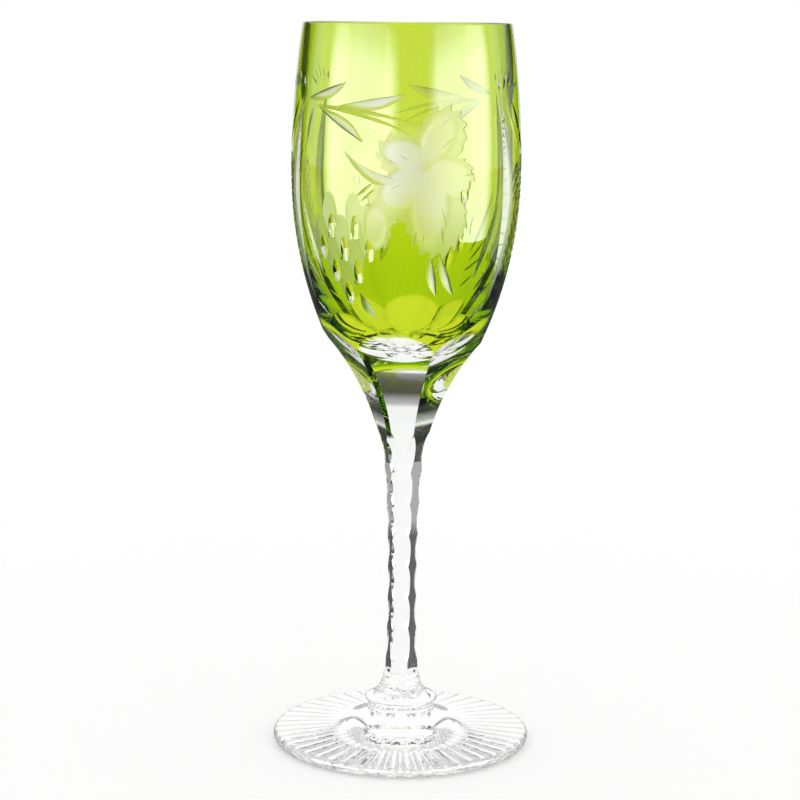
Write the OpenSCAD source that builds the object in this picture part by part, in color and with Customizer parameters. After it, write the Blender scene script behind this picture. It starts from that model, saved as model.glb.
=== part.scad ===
// Roemer: a stemmed wine glass with a green cased bowl cut through to clear glass, a six-sided
// notched stem, a flared collar and a round foot fluted underneath.
// Millimetres, +Z up, origin at the centre of the foot's underside, front of the decor towards -Y.
// The five pieces were joined hot, so they touch face to face along the axis.

/* [Foot] */
// Radius of the foot
foot_r = 36.8; // [32:0.2:42]
// Thickness of the foot at its edge
foot_edge_t = 3; // [2:0.1:4]
// Slope of the foot's upper face, in degrees
foot_slope = 6.5; // [3:0.5:9]
// Radius where the foot's upper face starts to sweep up to the hub
sweep_end_r = 20; // [17:0.5:24]
// Radius of the hub under the collar
hub_r = 9.6; // [8.8:0.1:10]
// Height of the hub above the table
hub_h = 11.4; // [10.6:0.1:13]
// Height of the upright side of the hub
hub_side = 2.8; // [2:0.1:3.4]
// Number of flutes under the foot
flute_count = 48; // [36:4:60]
// Radius where the flutes start
flute_start_r = 16; // [13:0.5:20]
// Depth of a flute at the foot's edge
flute_depth = 0.9; // [0.5:0.1:1.2]
// Radius of the cutter that made a flute
flute_cutter_r = 2.2; // [1.6:0.1:3]

/* [Collar] */
// Height of the collar
collar_h = 8.1; // [7:0.1:10]
// Radius of the collar's lip
collar_r = 10.5; // [10.2:0.1:12]
// Radius of the rounding of the lip
lip_round = 0.6; // [0.4:0.1:0.9]
// Radius of the collar's top, where the stem stands
collar_top_r = 5.2; // [5:0.1:6]

/* [Stem] */
// Length of the stem
stem_l = 71.5; // [60:0.5:85]
// Distance across the flats at the waist
waist_across = 7.3; // [6.6:0.1:8]
// Height of the waist above the stem's lower end
waist_h = 25.5; // [20:0.5:32]
// Arc radius of the stem's flats
stem_arc_r = 600; // [450:10:900]
// Radius of the wheel that cut the flats up onto the bowl
flat_wheel_r = 73; // [66:1:80]
// Drop of that wheel's axis below the top of the stem
flat_wheel_drop = 18; // [14:0.5:22]
// Turn of the six flats about the axis, in degrees
flat_turn = -8; // [-30:1:30]
// Number of notches along each edge
notch_count = 7; // [5:1:9]
// Depth of a notch in the edge
notch_depth = 0.6; // [0.3:0.05:0.8]
// Radius of the wheel that cut the notches
notch_wheel_r = 16; // [10:1:30]

/* [Bowl] */
// Height of the bowl from the stem to the rim
bowl_h = 114; // [105:1:125]
// Largest radius of the bowl
belly_r = 32; // [29:0.5:36]
// Height of the widest place above the stem
belly_h = 73; // [68:1:80]
// Arc radius of the wall above the widest place
upper_arc_r = 270; // [200:5:400]
// Arc radius of the wall below the widest place
lower_arc_r = 115; // [108:1:125]
// Thickness of the green casing
casing_t = 0.4; // [0.3:0.05:0.6]
// Height of the lower edge of the casing over the stem
casing_low = 18.5; // [16:0.5:21]
// Wall at the widest place, casing included
belly_wall = 3; // [2.6:0.1:3.6]
// Wall at the rim, casing included
rim_wall = 2; // [1.6:0.1:2.6]
// Thickness of solid glass between the stem and the bottom of the cavity
base_t = 24; // [21:0.5:26]
// Arc radius of the bottom of the cavity
cavity_bottom_r = 21; // [18:0.5:23]
// Radius of the flat spot in the middle of the cavity's bottom
bottom_flat_r = 2; // [1:0.5:4]

/* [Cutting] */
// Turn of the decor about the axis, in degrees
decor_turn = -2; // [-30:1:30]
// Angle from the middle of the front to the long upright cuts, in degrees
border_angle = 58; // [55:1:62]
// Depth of the long upright cuts
border_depth = 1.5; // [1:0.1:1.7]
// Width of the long upright cuts
border_w = 3.4; // [2.4:0.1:4.2]
// Depth of a leaf cut
leaf_depth = 0.9; // [0.75:0.05:1.1]
// Length of a grape
grape_l = 12; // [9:0.5:14]
// Width of a grape
grape_w = 4.4; // [3.4:0.1:5]
// Depth of a grape
grape_depth = 0.75; // [0.7:0.05:1]
// Angle between neighbouring grapes in a row, in degrees
grape_step = 14; // [11:0.5:16]
// Height between rows of grapes
grape_rise = 6.3; // [5:0.1:8]
// Depth of the crossed cuts of the side fields
field_depth = 0.3; // [0.2:0.05:0.4]
// Spacing of the crossed cuts, measured up the wall
field_step = 6; // [5:0.5:8]
// Width of a flank of the crossed cuts
field_w = 0.7; // [0.5:0.05:0.9]
// Half the rise of the longest crossed cut, up the wall
field_rise = 11; // [9:0.5:13]
// By how much each next crossed cut rises less
field_less = 1.6; // [1:0.1:2]
// Depth of the middle of the crossed cuts below the widest place
field_drop = 8; // [6:0.5:10]
// Width of a flank of the short cuts in the fans
fan_w = 0.5; // [0.4:0.05:0.7]

/* [Hidden] */

$fn = 96;
flats = 6;
// Cutters reach this far past what they cut
clear = 1;

// Heights of the seams, from the table up
stem_z = hub_h + collar_h;
base_z = stem_z + stem_l;
rim_z = base_z + bowl_h;
belly_z = base_z + belly_h;
waist_z = stem_z + waist_h;

// Green and clear lead glass
casing_colour = [0.61, 0.75, 0.06, 0.8];
clear_colour = [0.88, 0.92, 0.93, 0.6];

// Points of an arc, in degrees from the first angle to the last; skip leaves out that many at its start
function arc(centre, r, first, last, steps = 12, skip = 0) =
    [for (i = [skip:steps]) let (a = first + (last - first) * i / steps) centre + r * [cos(a), sin(a)]];

// Foot: a disc whose upper face sweeps up to the upright side of the hub
edge_r = foot_edge_t / 2;
edge_top_r = foot_r - edge_r;
sweep_end = [sweep_end_r, foot_edge_t + (edge_top_r - sweep_end_r) * tan(foot_slope)];
sweep_normal = [sin(foot_slope), cos(foot_slope)];
sweep_top = [hub_r, hub_h - hub_side];
to_hub = sweep_top - sweep_end;
sweep_r = (to_hub * to_hub) / (2 * (to_hub * sweep_normal));
sweep_centre = sweep_end + sweep_r * sweep_normal;
hub_spoke = sweep_top - sweep_centre;
hub_angle = atan2(hub_spoke[1], hub_spoke[0]) + 360;

module foot_section() {
    polygon(concat(
        [[0, 0]],
        arc([edge_top_r, edge_r], edge_r, -90, 90),
        arc(sweep_centre, sweep_r, 270 - foot_slope, hub_angle),
        [[hub_r, hub_h], [0, hub_h]]));
}

// One flute: a round rod that leans, so that the flute deepens towards the edge of the foot
module flute() {
    run = foot_r - flute_start_r;
    translate([flute_start_r, 0, -flute_cutter_r])
        rotate([0, 90 - atan(flute_depth / run), 0])
            cylinder(r = flute_cutter_r, h = run + 2 * flute_cutter_r);
}

module foot() {
    color(clear_colour)
        difference() {
            rotate_extrude() foot_section();
            for (i = [0:flute_count - 1]) rotate([0, 0, (i + 0.5) * 360 / flute_count]) flute();
        }
}

// Collar: it leaves the stem upright and flares in a hollow arc to a rounded lip
lip_centre = [collar_r - lip_round, lip_round];
from_lip = [collar_top_r, collar_h] - lip_centre;
flare_r = (from_lip * from_lip - lip_round ^ 2) / (2 * (lip_round - from_lip[0]));
flare_centre = [collar_top_r + flare_r, collar_h];
to_flare = flare_centre - lip_centre;
lip_angle = atan2(to_flare[1], to_flare[0]);

module collar() {
    color(clear_colour)
        translate([0, 0, hub_h])
            rotate_extrude()
                polygon(concat(
                    [[0, 0]],
                    arc(lip_centre, lip_round, -90, lip_angle),
                    arc(flare_centre, flare_r, 180 + lip_angle, 180, skip = 1),
                    [[0, collar_h]]));
}

// Flats: concave arcs, a slender one on the stem and a wheel's arc from there onto the bowl
waist_a = waist_across / 2;
flat_wheel_z = base_z - flat_wheel_drop;
arc_gap = stem_arc_r - flat_wheel_r;
flat_wheel_x = waist_a + stem_arc_r - sqrt(arc_gap ^ 2 - (flat_wheel_z - waist_z) ^ 2);
flat_join_z = waist_z + (flat_wheel_z - waist_z) * stem_arc_r / arc_gap;

// Distance from the axis to a flat, and to the edge between two flats
function flat_a(z) = z > flat_join_z
    ? flat_wheel_x - sqrt(flat_wheel_r ^ 2 - (z - flat_wheel_z) ^ 2)
    : waist_a + stem_arc_r - sqrt(stem_arc_r ^ 2 - (z - waist_z) ^ 2);
function edge_a(z) = flat_a(z) / cos(180 / flats);

// Six wheels round the axis, whose rims cut the flats
module six_wheels(r, x, z, width) {
    for (i = [0:flats - 1])
        rotate([0, 0, flat_turn + i * 360 / flats])
            translate([0, -x, z])
                rotate([0, 90, 0])
                    cylinder(r = r, h = width, center = true, $fn = 360);
}

module flat_wheels() {
    six_wheels(flat_wheel_r, flat_wheel_x, flat_wheel_z, 2 * belly_r);
}

// The stem before its notches: the slender part, and the part that spreads towards the bowl
module stem_blank() {
    blank_r = edge_a(base_z) + clear;
    difference() {
        translate([0, 0, stem_z]) cylinder(r = blank_r, h = flat_join_z - stem_z);
        six_wheels(stem_arc_r, waist_a + stem_arc_r, waist_z, 2 * blank_r);
    }
    difference() {
        translate([0, 0, flat_join_z]) cylinder(r = blank_r, h = base_z - flat_join_z);
        flat_wheels();
    }
}

// Notches along one edge of the stem, cut by a flat-rimmed wheel
module edge_notches() {
    pitch = stem_l / (notch_count + 1);
    for (i = [1:notch_count]) {
        z = stem_z + i * pitch;
        translate([0, -edge_a(z) - notch_wheel_r + notch_depth, z])
            rotate([0, 90, 0])
                cylinder(r = notch_wheel_r, h = 2 * edge_a(z), center = true);
    }
}

module stem() {
    color(clear_colour)
        difference() {
            stem_blank();
            for (i = [0:flats - 1])
                rotate([0, 0, flat_turn + (i + 0.5) * 360 / flats]) edge_notches();
        }
}

// Bowl wall: its arc, radius, the lift of its outward normal, and its curvature along a cut that
// is turned from upright
function wall_arc(z) = z > belly_z ? upper_arc_r : lower_arc_r;
function wall_r(z) = belly_r - wall_arc(z) + sqrt(wall_arc(z) ^ 2 - (z - belly_z) ^ 2);
function wall_lift(z) = asin((z - belly_z) / wall_arc(z));
function wall_bend(z, turn) =
    cos(turn) ^ 2 / wall_arc(z) + sin(turn) ^ 2 * cos(wall_lift(z)) / wall_r(z);

// Half the outline of everything inside the wall, set in from its outer face
module wall_section(inset) {
    intersection() {
        translate([belly_r - upper_arc_r, belly_z]) circle(upper_arc_r - inset, $fn = 720);
        translate([0, belly_z]) square([belly_r, rim_z - belly_z]);
    }
    intersection() {
        translate([belly_r - lower_arc_r, belly_z]) circle(lower_arc_r - inset, $fn = 360);
        translate([0, base_z]) square([belly_r, belly_h]);
    }
}

// Half the outline of the cavity: the wall's arc above, a longer arc below and a round bottom
cavity_r = belly_r - belly_wall;
cavity_z = base_z + base_t;
bottom_centre_z = cavity_z + sqrt(cavity_bottom_r ^ 2 - bottom_flat_r ^ 2);
cavity_h = belly_z - bottom_centre_z;
cavity_side_r = (cavity_r ^ 2 + cavity_h ^ 2 - cavity_bottom_r ^ 2) / (2 * (cavity_r - cavity_bottom_r));
bottom_angle = asin(cavity_h / (cavity_side_r - cavity_bottom_r));
flat_angle = acos(bottom_flat_r / cavity_bottom_r);
rim_rise = rim_z - belly_z;
rim_step = cavity_r - (wall_r(rim_z) - rim_wall);
cavity_top_r = (rim_rise ^ 2 + rim_step ^ 2) / (2 * rim_step);

module cavity_section() {
    polygon(concat(
        [[0, rim_z + clear], [wall_r(rim_z) - rim_wall, rim_z + clear]],
        arc([cavity_r - cavity_top_r, belly_z], cavity_top_r, asin(rim_rise / cavity_top_r), 0),
        arc([cavity_r - cavity_side_r, belly_z], cavity_side_r, 0, -bottom_angle, skip = 1),
        arc([0, bottom_centre_z], cavity_bottom_r, -bottom_angle, -flat_angle, skip = 1),
        [[0, cavity_z]]));
}

// Children at a place on the wall: their -Y points out of the glass and their +Z up the wall
module on_wall(azimuth, height) {
    z = belly_z + height;
    rotate([0, 0, azimuth])
        translate([0, -wall_r(z), z])
            rotate([-wall_lift(z), 0, 0])
                children();
}

// A mitre cut between two places on the wall, each an azimuth and a height over the belly. Its
// valley is an arc that is deepest half way and comes out of the wall at both places. The two
// flanks have their own widths, left and right of the way from the first place to the second.
module mitre(from, to, depth, left_w, right_w) {
    azimuth = (from[0] + to[0]) / 2;
    height = (from[1] + to[1]) / 2;
    z = belly_z + height;
    across = (to[0] - from[0]) * PI / 180 * wall_r(z);
    rise = (to[1] - from[1]) / cos(wall_lift(z));
    length = norm([across, rise]);
    turn = atan2(across, rise);
    bend = wall_bend(z, turn) - 8 * depth / length ^ 2;
    r = 1 / abs(bend);
    away = bend > 0 ? 1 : -1;
    tall = depth + clear;
    sweep = (length + 2 * clear) / r * 180 / PI;
    on_wall(azimuth, height)
        rotate([0, turn, 0])
            translate([0, depth + away * r, 0])
                rotate([-90 * away, 0, 0])
                    rotate([0, 90, 0])
                        rotate([0, 0, -sweep / 2])
                            rotate_extrude(angle = sweep, $fn = 128)
                                polygon([[r, 0],
                                    [r + away * tall, -left_w * tall / depth],
                                    [r + away * tall, right_w * tall / depth]]);
}

// An upright oval cut, made by a wheel with a round rim
module olive(azimuth, height, length, width, depth) {
    z = belly_z + height;
    wheel_r = 1 / (8 * depth / length ^ 2 - wall_bend(z, 0));
    rim_r = 1 / (8 * depth / width ^ 2 - wall_bend(z, 90));
    sweep = (length + 2 * clear) / wheel_r * 180 / PI;
    on_wall(azimuth, height)
        translate([0, depth - wheel_r, 0])
            rotate([90, 0, 0])
                rotate([0, 90, 0])
                    rotate([0, 0, -sweep / 2])
                        rotate_extrude(angle = sweep, $fn = 128)
                            translate([wheel_r - rim_r, 0]) circle(rim_r, $fn = 48);
}

// Leaf cuts of the front, each [from, to, left width, right width]
leaf_cuts = [
    [[-56, 20.5], [-29, 25.3], 0.4, 2.6],
    [[-34, 18.9], [2.5, 22.2], 0.5, 2.8],
    [[-47, 18.5], [-19, 9.4], 2.6, 0.4],
    [[-30, 7.4], [-1, -0.7], 0.6, 2.8],
    [[14.5, -19.7], [19.6, -32], 0.4, 2.2],
    [[19, -19.7], [30, -32], 0.4, 2.2],
];
// Short cuts that fan up from the top of each upright cut, each [azimuth step, height]
fan_cuts = [[-13, 26], [-7, 29], [0, 30], [7, 29], [13, 26]];
// Ends of the upright cuts, as heights over the belly
border_top = 20;
border_low = -33;

// The crossed cuts fill the field at the side: its middle, half the reach of the longest cut and by how
// much each next one reaches less, in degrees
field_azimuth = 90;
field_reach = 20;
field_reach_less = 3;

// Grapes hang in rows, widest in the second
grape_rows = [2, 3, 2, 1];
grape_azimuth = -31.5;
grape_top = -9.5;

// Lobes of the vine leaf and of the small leaf, each [direction, length, half angle], in degrees
// from the right and millimetres from the hub
vine_lobes = [[67, 16, 36], [153, 14, 34], [-16, 13.5, 38], [-79, 23, 32], [-130, 17.5, 34]];
vine_hub = [12.9, 2.4];
small_lobes = [[-88, 11.5, 40], [-40, 6.5, 40], [-140, 6.5, 40], [90, 3, 80]];
small_hub = [-13.5, -8];
leaf_points = 72;
hub_reach = 2.2;
tooth = 0.07;

// Outline of a leaf: the longest lobe in each direction, with a toothed edge
function lobe_reach(lobe, a) =
    let (off = abs((a - lobe[0] + 540) % 360 - 180))
    off < lobe[2] ? lobe[1] * cos(90 * off / lobe[2]) ^ 0.6 : 0;
function leaf_reach(lobes, i) =
    (1 + tooth * (i % 3 - 1))
        * max(concat([hub_reach], [for (lobe = lobes) lobe_reach(lobe, i * 360 / leaf_points)]));

module leaf_window(hub, lobes) {
    deep = belly_r / 4;
    on_wall(hub[0], hub[1])
        translate([0, deep, 0])
            rotate([90, 0, 0])
                linear_extrude(height = deep + 3 * clear)
                    polygon([for (i = [0:leaf_points - 1])
                        leaf_reach(lobes, i) * [cos(i * 360 / leaf_points), sin(i * 360 / leaf_points)]]);
}

// Cuts that go through the casing into the clear glass
module deep_cuts() {
    for (side = [-1, 1])
        mitre([side * border_angle, border_low], [side * border_angle, border_top],
            border_depth, border_w / 2, border_w / 2);
    for (cut = leaf_cuts) mitre(cut[0], cut[1], leaf_depth, cut[2], cut[3]);
    for (row = [0:len(grape_rows) - 1])
        for (i = [0:grape_rows[row] - 1])
            olive(grape_azimuth + (i - (grape_rows[row] - 1) / 2) * grape_step,
                grape_top - row * grape_rise, grape_l, grape_w, grape_depth);
}

// Cuts that only the casing shows: the leaves, the fans and the crossed cuts of a side field
module casing_cuts() {
    leaf_window(vine_hub, vine_lobes);
    leaf_window(small_hub, small_lobes);
    for (side = [-1, 1])
        for (cut = fan_cuts)
            mitre([side * border_angle + cut[0] / 4, border_top + 1], [side * border_angle + cut[0], cut[1]],
                field_depth, fan_w, fan_w);
    for (lean = [-1, 1])
        for (i = [-2:2]) {
            middle = i * field_step - field_drop;
            rise = field_rise - field_less * abs(i);
            reach = lean * (field_reach - field_reach_less * abs(i));
            mitre([field_azimuth - reach, middle - rise], [field_azimuth + reach, middle + rise],
                field_depth, field_w, field_w);
        }
}

module bowl_casing() {
    color(casing_colour)
        difference() {
            rotate_extrude()
                difference() {
                    wall_section(0);
                    wall_section(casing_t);
                    translate([0, base_z - clear]) square([belly_r, casing_low + clear]);
                }
            flat_wheels();
            for (half = [0, 1])
                rotate([0, 0, decor_turn + 180 * half]) {
                    deep_cuts();
                    casing_cuts();
                }
        }
}

module bowl_crystal() {
    neck_h = base_t / 2;
    color(clear_colour)
        difference() {
            rotate_extrude()
                difference() {
                    union() {
                        wall_section(casing_t);
                        translate([0, base_z]) square([wall_r(base_z + neck_h) - casing_t, neck_h]);
                    }
                    cavity_section();
                }
            flat_wheels();
            for (half = [0, 1]) rotate([0, 0, decor_turn + 180 * half]) deep_cuts();
        }
}

bowl_casing();
bowl_crystal();
stem();
collar();
foot();
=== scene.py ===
import math

import bmesh
import bpy
import numpy as np
from mathutils import Matrix, Vector
from mathutils.geometry import delaunay_2d_cdt


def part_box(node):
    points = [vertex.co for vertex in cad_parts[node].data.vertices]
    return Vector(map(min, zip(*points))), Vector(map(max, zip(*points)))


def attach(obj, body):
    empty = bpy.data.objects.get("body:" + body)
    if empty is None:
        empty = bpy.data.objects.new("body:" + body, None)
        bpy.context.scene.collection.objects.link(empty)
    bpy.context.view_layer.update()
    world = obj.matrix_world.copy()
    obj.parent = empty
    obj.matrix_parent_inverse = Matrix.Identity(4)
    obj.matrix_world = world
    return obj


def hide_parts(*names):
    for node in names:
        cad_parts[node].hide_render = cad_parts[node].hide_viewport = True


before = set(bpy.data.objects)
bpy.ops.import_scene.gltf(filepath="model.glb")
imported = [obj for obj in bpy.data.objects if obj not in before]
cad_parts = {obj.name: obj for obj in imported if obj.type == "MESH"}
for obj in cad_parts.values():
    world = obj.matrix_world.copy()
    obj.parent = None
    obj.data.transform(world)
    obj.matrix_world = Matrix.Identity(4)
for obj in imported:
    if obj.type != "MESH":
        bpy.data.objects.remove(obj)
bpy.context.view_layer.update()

# Sizes are in millimetres until a piece is finished, which turns them into the frame's metres.
MM = 0.001
hub_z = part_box("foot")[1].z / MM
stem_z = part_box("collar")[1].z / MM
base_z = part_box("stem")[1].z / MM
rim_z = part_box("bowl_crystal")[1].z / MM
foot_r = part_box("foot")[1].x / MM

# Foot and collar
foot_edge_t = 3
foot_slope = math.radians(6.5)
sweep_end_r = 20
hub_r = 9.6
hub_side = 2.8
flute_count = 48
flute_start_r = 18.5
flute_depth = 0.9
flute_cutter_r = 2.2
collar_r = 10.5
lip_round = 0.6
collar_top_r = 5.2

# Stem
flats = 6
flat_turn = math.radians(-8)
waist_a = 3.65
waist_z = stem_z + 25.5
stem_arc_r = 600
flat_wheel_r = 73
flat_wheel_z = base_z - 18
notch_count = 7
notch_depth = 0.6
notch_wheel_r = 16

# Bowl
belly_r = 32
belly_z = base_z + 73
upper_arc_r = 270
lower_arc_r = 115
casing_t = 0.4
# Below the belly the casing gets thicker: from this far below it, over this height and by this share
thick_drop = 2
thick_run = 30
thick_more = 0.5
casing_low_z = base_z + 18.5
# Below this height over the stem the crystal's blank is upright, before the flats are cut
neck_h = 12
belly_wall = 3
rim_wall = 2
rim_round = 0.6
cavity_z = base_z + 24
cavity_bottom_r = 21
# The casing's inner face and the crystal's outer face stay this far apart, so that no ray meets both at once
seam_gap = 0.01

# Steps of the meshes
turn_steps = 192
row_step = 1.6
rim_steps = 6
cavity_steps = (24, 26, 22)
flat_steps = (70, 36)
stem_rows = 73
flare_steps = 48
sweep_steps = 24
# Cutters rise this far above the wall
clear = 0.8
# Faces that meet at more than this are an edge of the cutting
edge_angle = math.radians(9)
# What lies this near to a joint's height lies in the joint
touch = 0.01


# Materials


def linear(code):
    """The linear colour of an sRGB hex value."""
    parts = [int(code[i : i + 2], 16) / 255 for i in (1, 3, 5)]
    return [p / 12.92 if p <= 0.04045 else ((p + 0.055) / 1.055) ** 2.4 for p in parts] + [1]


def add(tree, kind, links=None, **settings):
    """Adds a node with its settings. links gives a socket a value, or another node's output to read."""
    node = tree.nodes.new(kind)
    for name, value in settings.items():
        setattr(node, name, value)
    for socket, value in (links or {}).items():
        if isinstance(value, bpy.types.NodeSocket):
            tree.links.new(value, node.inputs[socket])
        else:
            node.inputs[socket].default_value = value
    return node


def maths(tree, operation, *values, **settings):
    """The result of a calculation with numbers and other nodes' outputs."""
    return add(tree, "ShaderNodeMath", dict(enumerate(values)), operation=operation, **settings).outputs[0]


def vector(tree, **parts):
    """A vector of numbers and other nodes' outputs."""
    return add(tree, "ShaderNodeCombineXYZ", parts).outputs[0]


def graded(tree, value, first, last, low=0.0, high=1.0):
    """From low to high, while a value goes from first to last."""
    links = {"Value": value, "From Min": first, "From Max": last, "To Min": low, "To Max": high}
    return add(tree, "ShaderNodeMapRange", links).outputs[0]


def glow(tree, strength):
    """White light."""
    return add(tree, "ShaderNodeEmission", {"Color": (1, 1, 1, 1), "Strength": strength}).outputs[0]


def new_material(name):
    material = bpy.data.materials.new(name)
    material.use_nodes = True
    material.node_tree.nodes.clear()
    return material, material.node_tree


# Lead crystal is clear and bright, with a higher index than window glass
crystal_ior = 1.56
# How strongly a metre of the green casing takes light, and the colour that it lets pass
green_density = 6200
green_passes = linear("#F2F832")
# The real grit of the wheel is too fine to show, so it is drawn ten times coarser
grit_size = 0.4
satin_roughness = (0.34, 0.46)
polished_tint = linear("#FDFEFD")
# Ground glass scatters some light back, which greys the cuts of the casing and whitens those of the crystal
satin_tint = linear("#E6E9E3")
white_satin_tint = linear("#F4F6F1")
# The share of light that a ground face of the crystal still lets through
satin_passes = 0.6
wave_size = 14
wave_height = 0.2
wave_strength = 0.04


def noise(tree, place, size, detail):
    """Noise with lumps of a size in millimetres."""
    links = {"Vector": place.outputs["Object"], "Scale": 1 / (size * MM), "Detail": detail}
    return add(tree, "ShaderNodeTexNoise", links).outputs["Fac"]


def waves(tree, place):
    """The faint waviness that polishing leaves on glass."""
    lumps = noise(tree, place, wave_size, 1)
    links = {"Height": lumps, "Strength": wave_strength, "Distance": wave_height * MM}
    return add(tree, "ShaderNodeBump", links).outputs["Normal"]


def grit(tree, place):
    """The uneven roughness of ground glass."""
    return graded(tree, noise(tree, place, grit_size, 2), 0.0, 1.0, *satin_roughness)


def polished_crystal():
    """Cut and polished lead glass: clear, with sharp reflections and a faint waviness."""
    material, tree = new_material("lead_crystal_polished")
    place = add(tree, "ShaderNodeTexCoord")
    shader = add(tree, "ShaderNodeBsdfPrincipled", {
        "Base Color": polished_tint, "Roughness": 0.0, "IOR": crystal_ior, "Transmission Weight": 1,
        "Normal": waves(tree, place)})
    add(tree, "ShaderNodeOutputMaterial", {"Surface": shader.outputs[0]})
    return material


def satin_crystal():
    """Lead glass as the cutting wheel leaves it: a fine even grind that blurs and whitens what is behind."""
    material, tree = new_material("lead_crystal_satin_cut")
    place = add(tree, "ShaderNodeTexCoord")
    shader = add(tree, "ShaderNodeBsdfPrincipled", {
        "Base Color": white_satin_tint, "Roughness": grit(tree, place), "IOR": crystal_ior,
        "Transmission Weight": satin_passes})
    add(tree, "ShaderNodeOutputMaterial", {"Surface": shader.outputs[0]})
    return material


def fused_seam():
    """Where two gathers were joined hot: nothing bends light there, so the seam can't be seen."""
    material, tree = new_material("lead_crystal_fused_seam")
    shader = add(tree, "ShaderNodeBsdfTransparent")
    add(tree, "ShaderNodeOutputMaterial", {"Surface": shader.outputs[0]})
    return material


def green_casing():
    """A thin skin of green glass, polished outside, satin where the wheel cut it and fused to the crystal
    inside. Its colour deepens with the way that light takes through it. One material covers the whole skin,
    because a body of colour has to be left by the material that it was entered by."""
    material, tree = new_material("green_casing_glass")
    place = add(tree, "ShaderNodeTexCoord")
    satin = add(tree, "ShaderNodeAttribute", attribute_name="satin")
    seam = add(tree, "ShaderNodeAttribute", attribute_name="seam")
    rough = maths(tree, "MULTIPLY", grit(tree, place), satin.outputs["Fac"])
    tint = add(tree, "ShaderNodeMix", {"Factor": satin.outputs["Fac"], "A": polished_tint, "B": satin_tint},
               data_type="RGBA")
    glass = add(tree, "ShaderNodeBsdfPrincipled", {
        "Base Color": tint.outputs["Result"], "Roughness": rough, "IOR": crystal_ior,
        "Transmission Weight": 1, "Normal": waves(tree, place)})
    fused = add(tree, "ShaderNodeBsdfTransparent")
    surface = add(tree, "ShaderNodeMixShader", {
        0: seam.outputs["Fac"], 1: glass.outputs[0], 2: fused.outputs[0]})
    body = add(tree, "ShaderNodeVolumeAbsorption", {"Color": green_passes, "Density": green_density})
    add(tree, "ShaderNodeOutputMaterial", {"Surface": surface.outputs[0], "Volume": body.outputs[0]})
    return material


clear_polished = polished_crystal()
clear_satin = satin_crystal()
clear_seam = fused_seam()
green_glass = green_casing()


# Meshes


def make_object(name, points, faces, material):
    mesh = bpy.data.meshes.new(name)
    mesh.from_pydata([tuple(p) for p in points], [], faces)
    mesh.materials.append(material)
    obj = bpy.data.objects.new(name, mesh)
    bpy.context.scene.collection.objects.link(obj)
    shape = bmesh.new()
    shape.from_mesh(mesh)
    bmesh.ops.recalc_face_normals(shape, faces=shape.faces)
    shape.to_mesh(mesh)
    shape.free()
    return obj


def revolve(name, profile, material, steps=turn_steps):
    """A solid of revolution from its profile of radius and height, a closed loop or one between two poles."""
    points = []
    rings = []
    for r, z in profile:
        turns = 1 if r == 0 else steps
        rings.append(range(len(points), len(points) + turns))
        for i in range(turns):
            a = 2 * math.pi * i / turns
            points.append((r * math.sin(a), -r * math.cos(a), z))
    pairs = list(zip(rings, rings[1:]))
    if profile[0][0] > 0:
        pairs.append((rings[-1], rings[0]))
    faces = []
    for low, high in pairs:
        for i in range(steps):
            j = (i + 1) % steps
            corners = [low[i % len(low)], low[j % len(low)], high[j % len(high)], high[i % len(high)]]
            faces.append(list(dict.fromkeys(corners)))
    return make_object(name, points, faces, material)


def arc(centre, r, first, last, steps=12):
    """Points of an arc between two angles."""
    angles = np.linspace(first, last, steps + 1)
    return [(centre[0] + r * math.cos(a), centre[1] + r * math.sin(a)) for a in angles]


def evaluated(obj):
    """Replaces an object's mesh by what its modifiers make of it, and removes them."""
    graph = bpy.context.evaluated_depsgraph_get()
    graph.update()
    mesh = bpy.data.meshes.new_from_object(obj.evaluated_get(graph))
    obj.modifiers.clear()
    obj.data = mesh
    return obj


def cut_away(obj, cutters):
    """Cuts all the cutters away from a solid at once."""
    group = bpy.data.collections.new(obj.name + "_cutters")
    bpy.context.scene.collection.children.link(group)
    for cutter in cutters:
        group.objects.link(cutter)
    step = obj.modifiers.new("cut", "BOOLEAN")
    step.operation = "DIFFERENCE"
    step.solver = "MANIFOLD"
    step.operand_type = "COLLECTION"
    step.collection = group
    step.material_mode = "TRANSFER"
    evaluated(obj)
    bpy.data.collections.remove(group)
    return obj


def finish_piece(obj, node, normals=None):
    """Turns a piece into metres, gives it smooth faces with crisp edges, and ties it to the frame."""
    mesh = obj.data
    mesh.transform(Matrix.Scale(MM, 4))
    mesh.shade_smooth()
    mesh.set_sharp_from_angle(angle=edge_angle)
    if normals is not None:
        mesh.normals_split_custom_set(normals)
    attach(obj, "root")
    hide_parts(node)


# Wall of the bowl


def wall_arc(z):
    """Arc radius of the wall at a height."""
    return upper_arc_r if z > belly_z else lower_arc_r


def wall_r(z, inset=0):
    """Radius of the wall at a height, set in from its outer face."""
    r = wall_arc(z)
    return belly_r - r + math.sqrt((r - inset) ** 2 - (z - belly_z) ** 2)


def wall_frame(azimuth, height):
    """A place on the wall and its normal, by the azimuth in degrees from the front and the height over the
    belly."""
    a = math.radians(azimuth)
    z = belly_z + height
    lift = math.asin(height / wall_arc(z))
    out = Vector((math.sin(a), -math.cos(a), 0))
    point = out * wall_r(z) + Vector((0, 0, z))
    return point, out * math.cos(lift) + Vector((0, 0, math.sin(lift)))


def wall_depth(points):
    """How deep points lie under the wall's outer face, and the wall's normals there."""
    radius = np.maximum(np.hypot(points[:, 0], points[:, 1]), 1e-6)
    rise = points[:, 2] - belly_z
    bend = np.where(rise > 0, upper_arc_r, lower_arc_r)
    reach = radius - belly_r + bend
    length = np.hypot(reach, rise)
    level = reach / length
    normals = np.column_stack([points[:, 0] / radius * level, points[:, 1] / radius * level, rise / length])
    return bend - length, normals


def casing_depth(z):
    """Thickness of the casing at a height."""
    share = np.clip((belly_z - thick_drop - z) / thick_run, 0, 1)
    return casing_t * (1 + thick_more * share**2 * (3 - 2 * share))


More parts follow.
